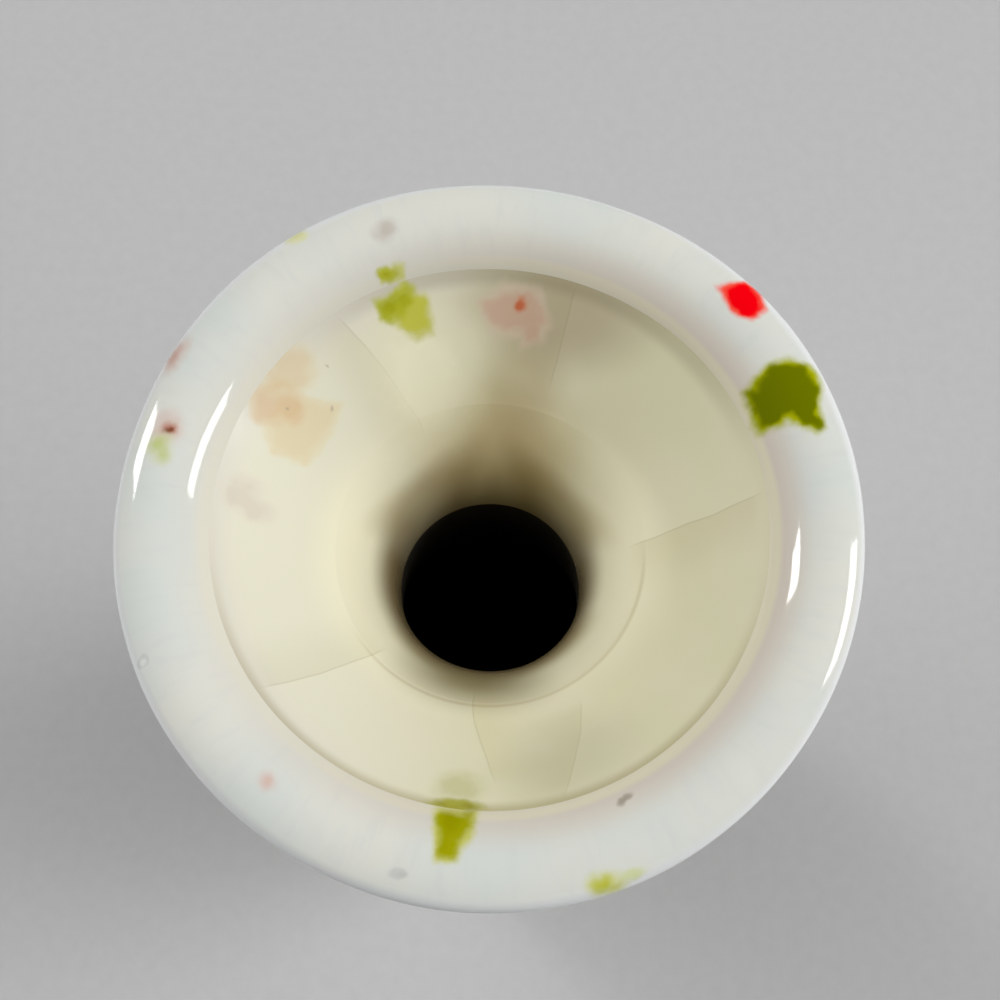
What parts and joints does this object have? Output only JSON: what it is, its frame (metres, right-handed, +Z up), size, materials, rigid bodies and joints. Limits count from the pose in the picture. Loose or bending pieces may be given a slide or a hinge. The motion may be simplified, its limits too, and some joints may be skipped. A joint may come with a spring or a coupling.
{
  "type": "bud vase",
  "caption": "Slender glazed ceramic bud vase: ovoid body on a foot ring, narrow neck and trumpet mouth whose thick rolled lip edges a funnel down to a small throat.",
  "frame": {"origin": "centre of the foot ring's resting face", "axes": "+Z up along the axis that the vase was turned about; -Y towards the viewer of the picture"},
  "size_m": [0.05, 0.05, 0.125],
  "materials": {
    "outer_glaze": "glossy white glaze with a faint blue-green cast and painted dabs",
    "inner_glaze": "glossy cream glaze, finely cracked",
    "foot_clay": "glazed outside, bare matt clay where it rests"
  },
  "bodies": {
    "root": {"foot_ring": "foot_clay", "lower_body": "outer_glaze", "shoulder": "outer_glaze", "neck": "outer_glaze", "mouth_funnel": "inner_glaze", "rolled_lip": "outer_glaze"}
  },
  "joints": []
}
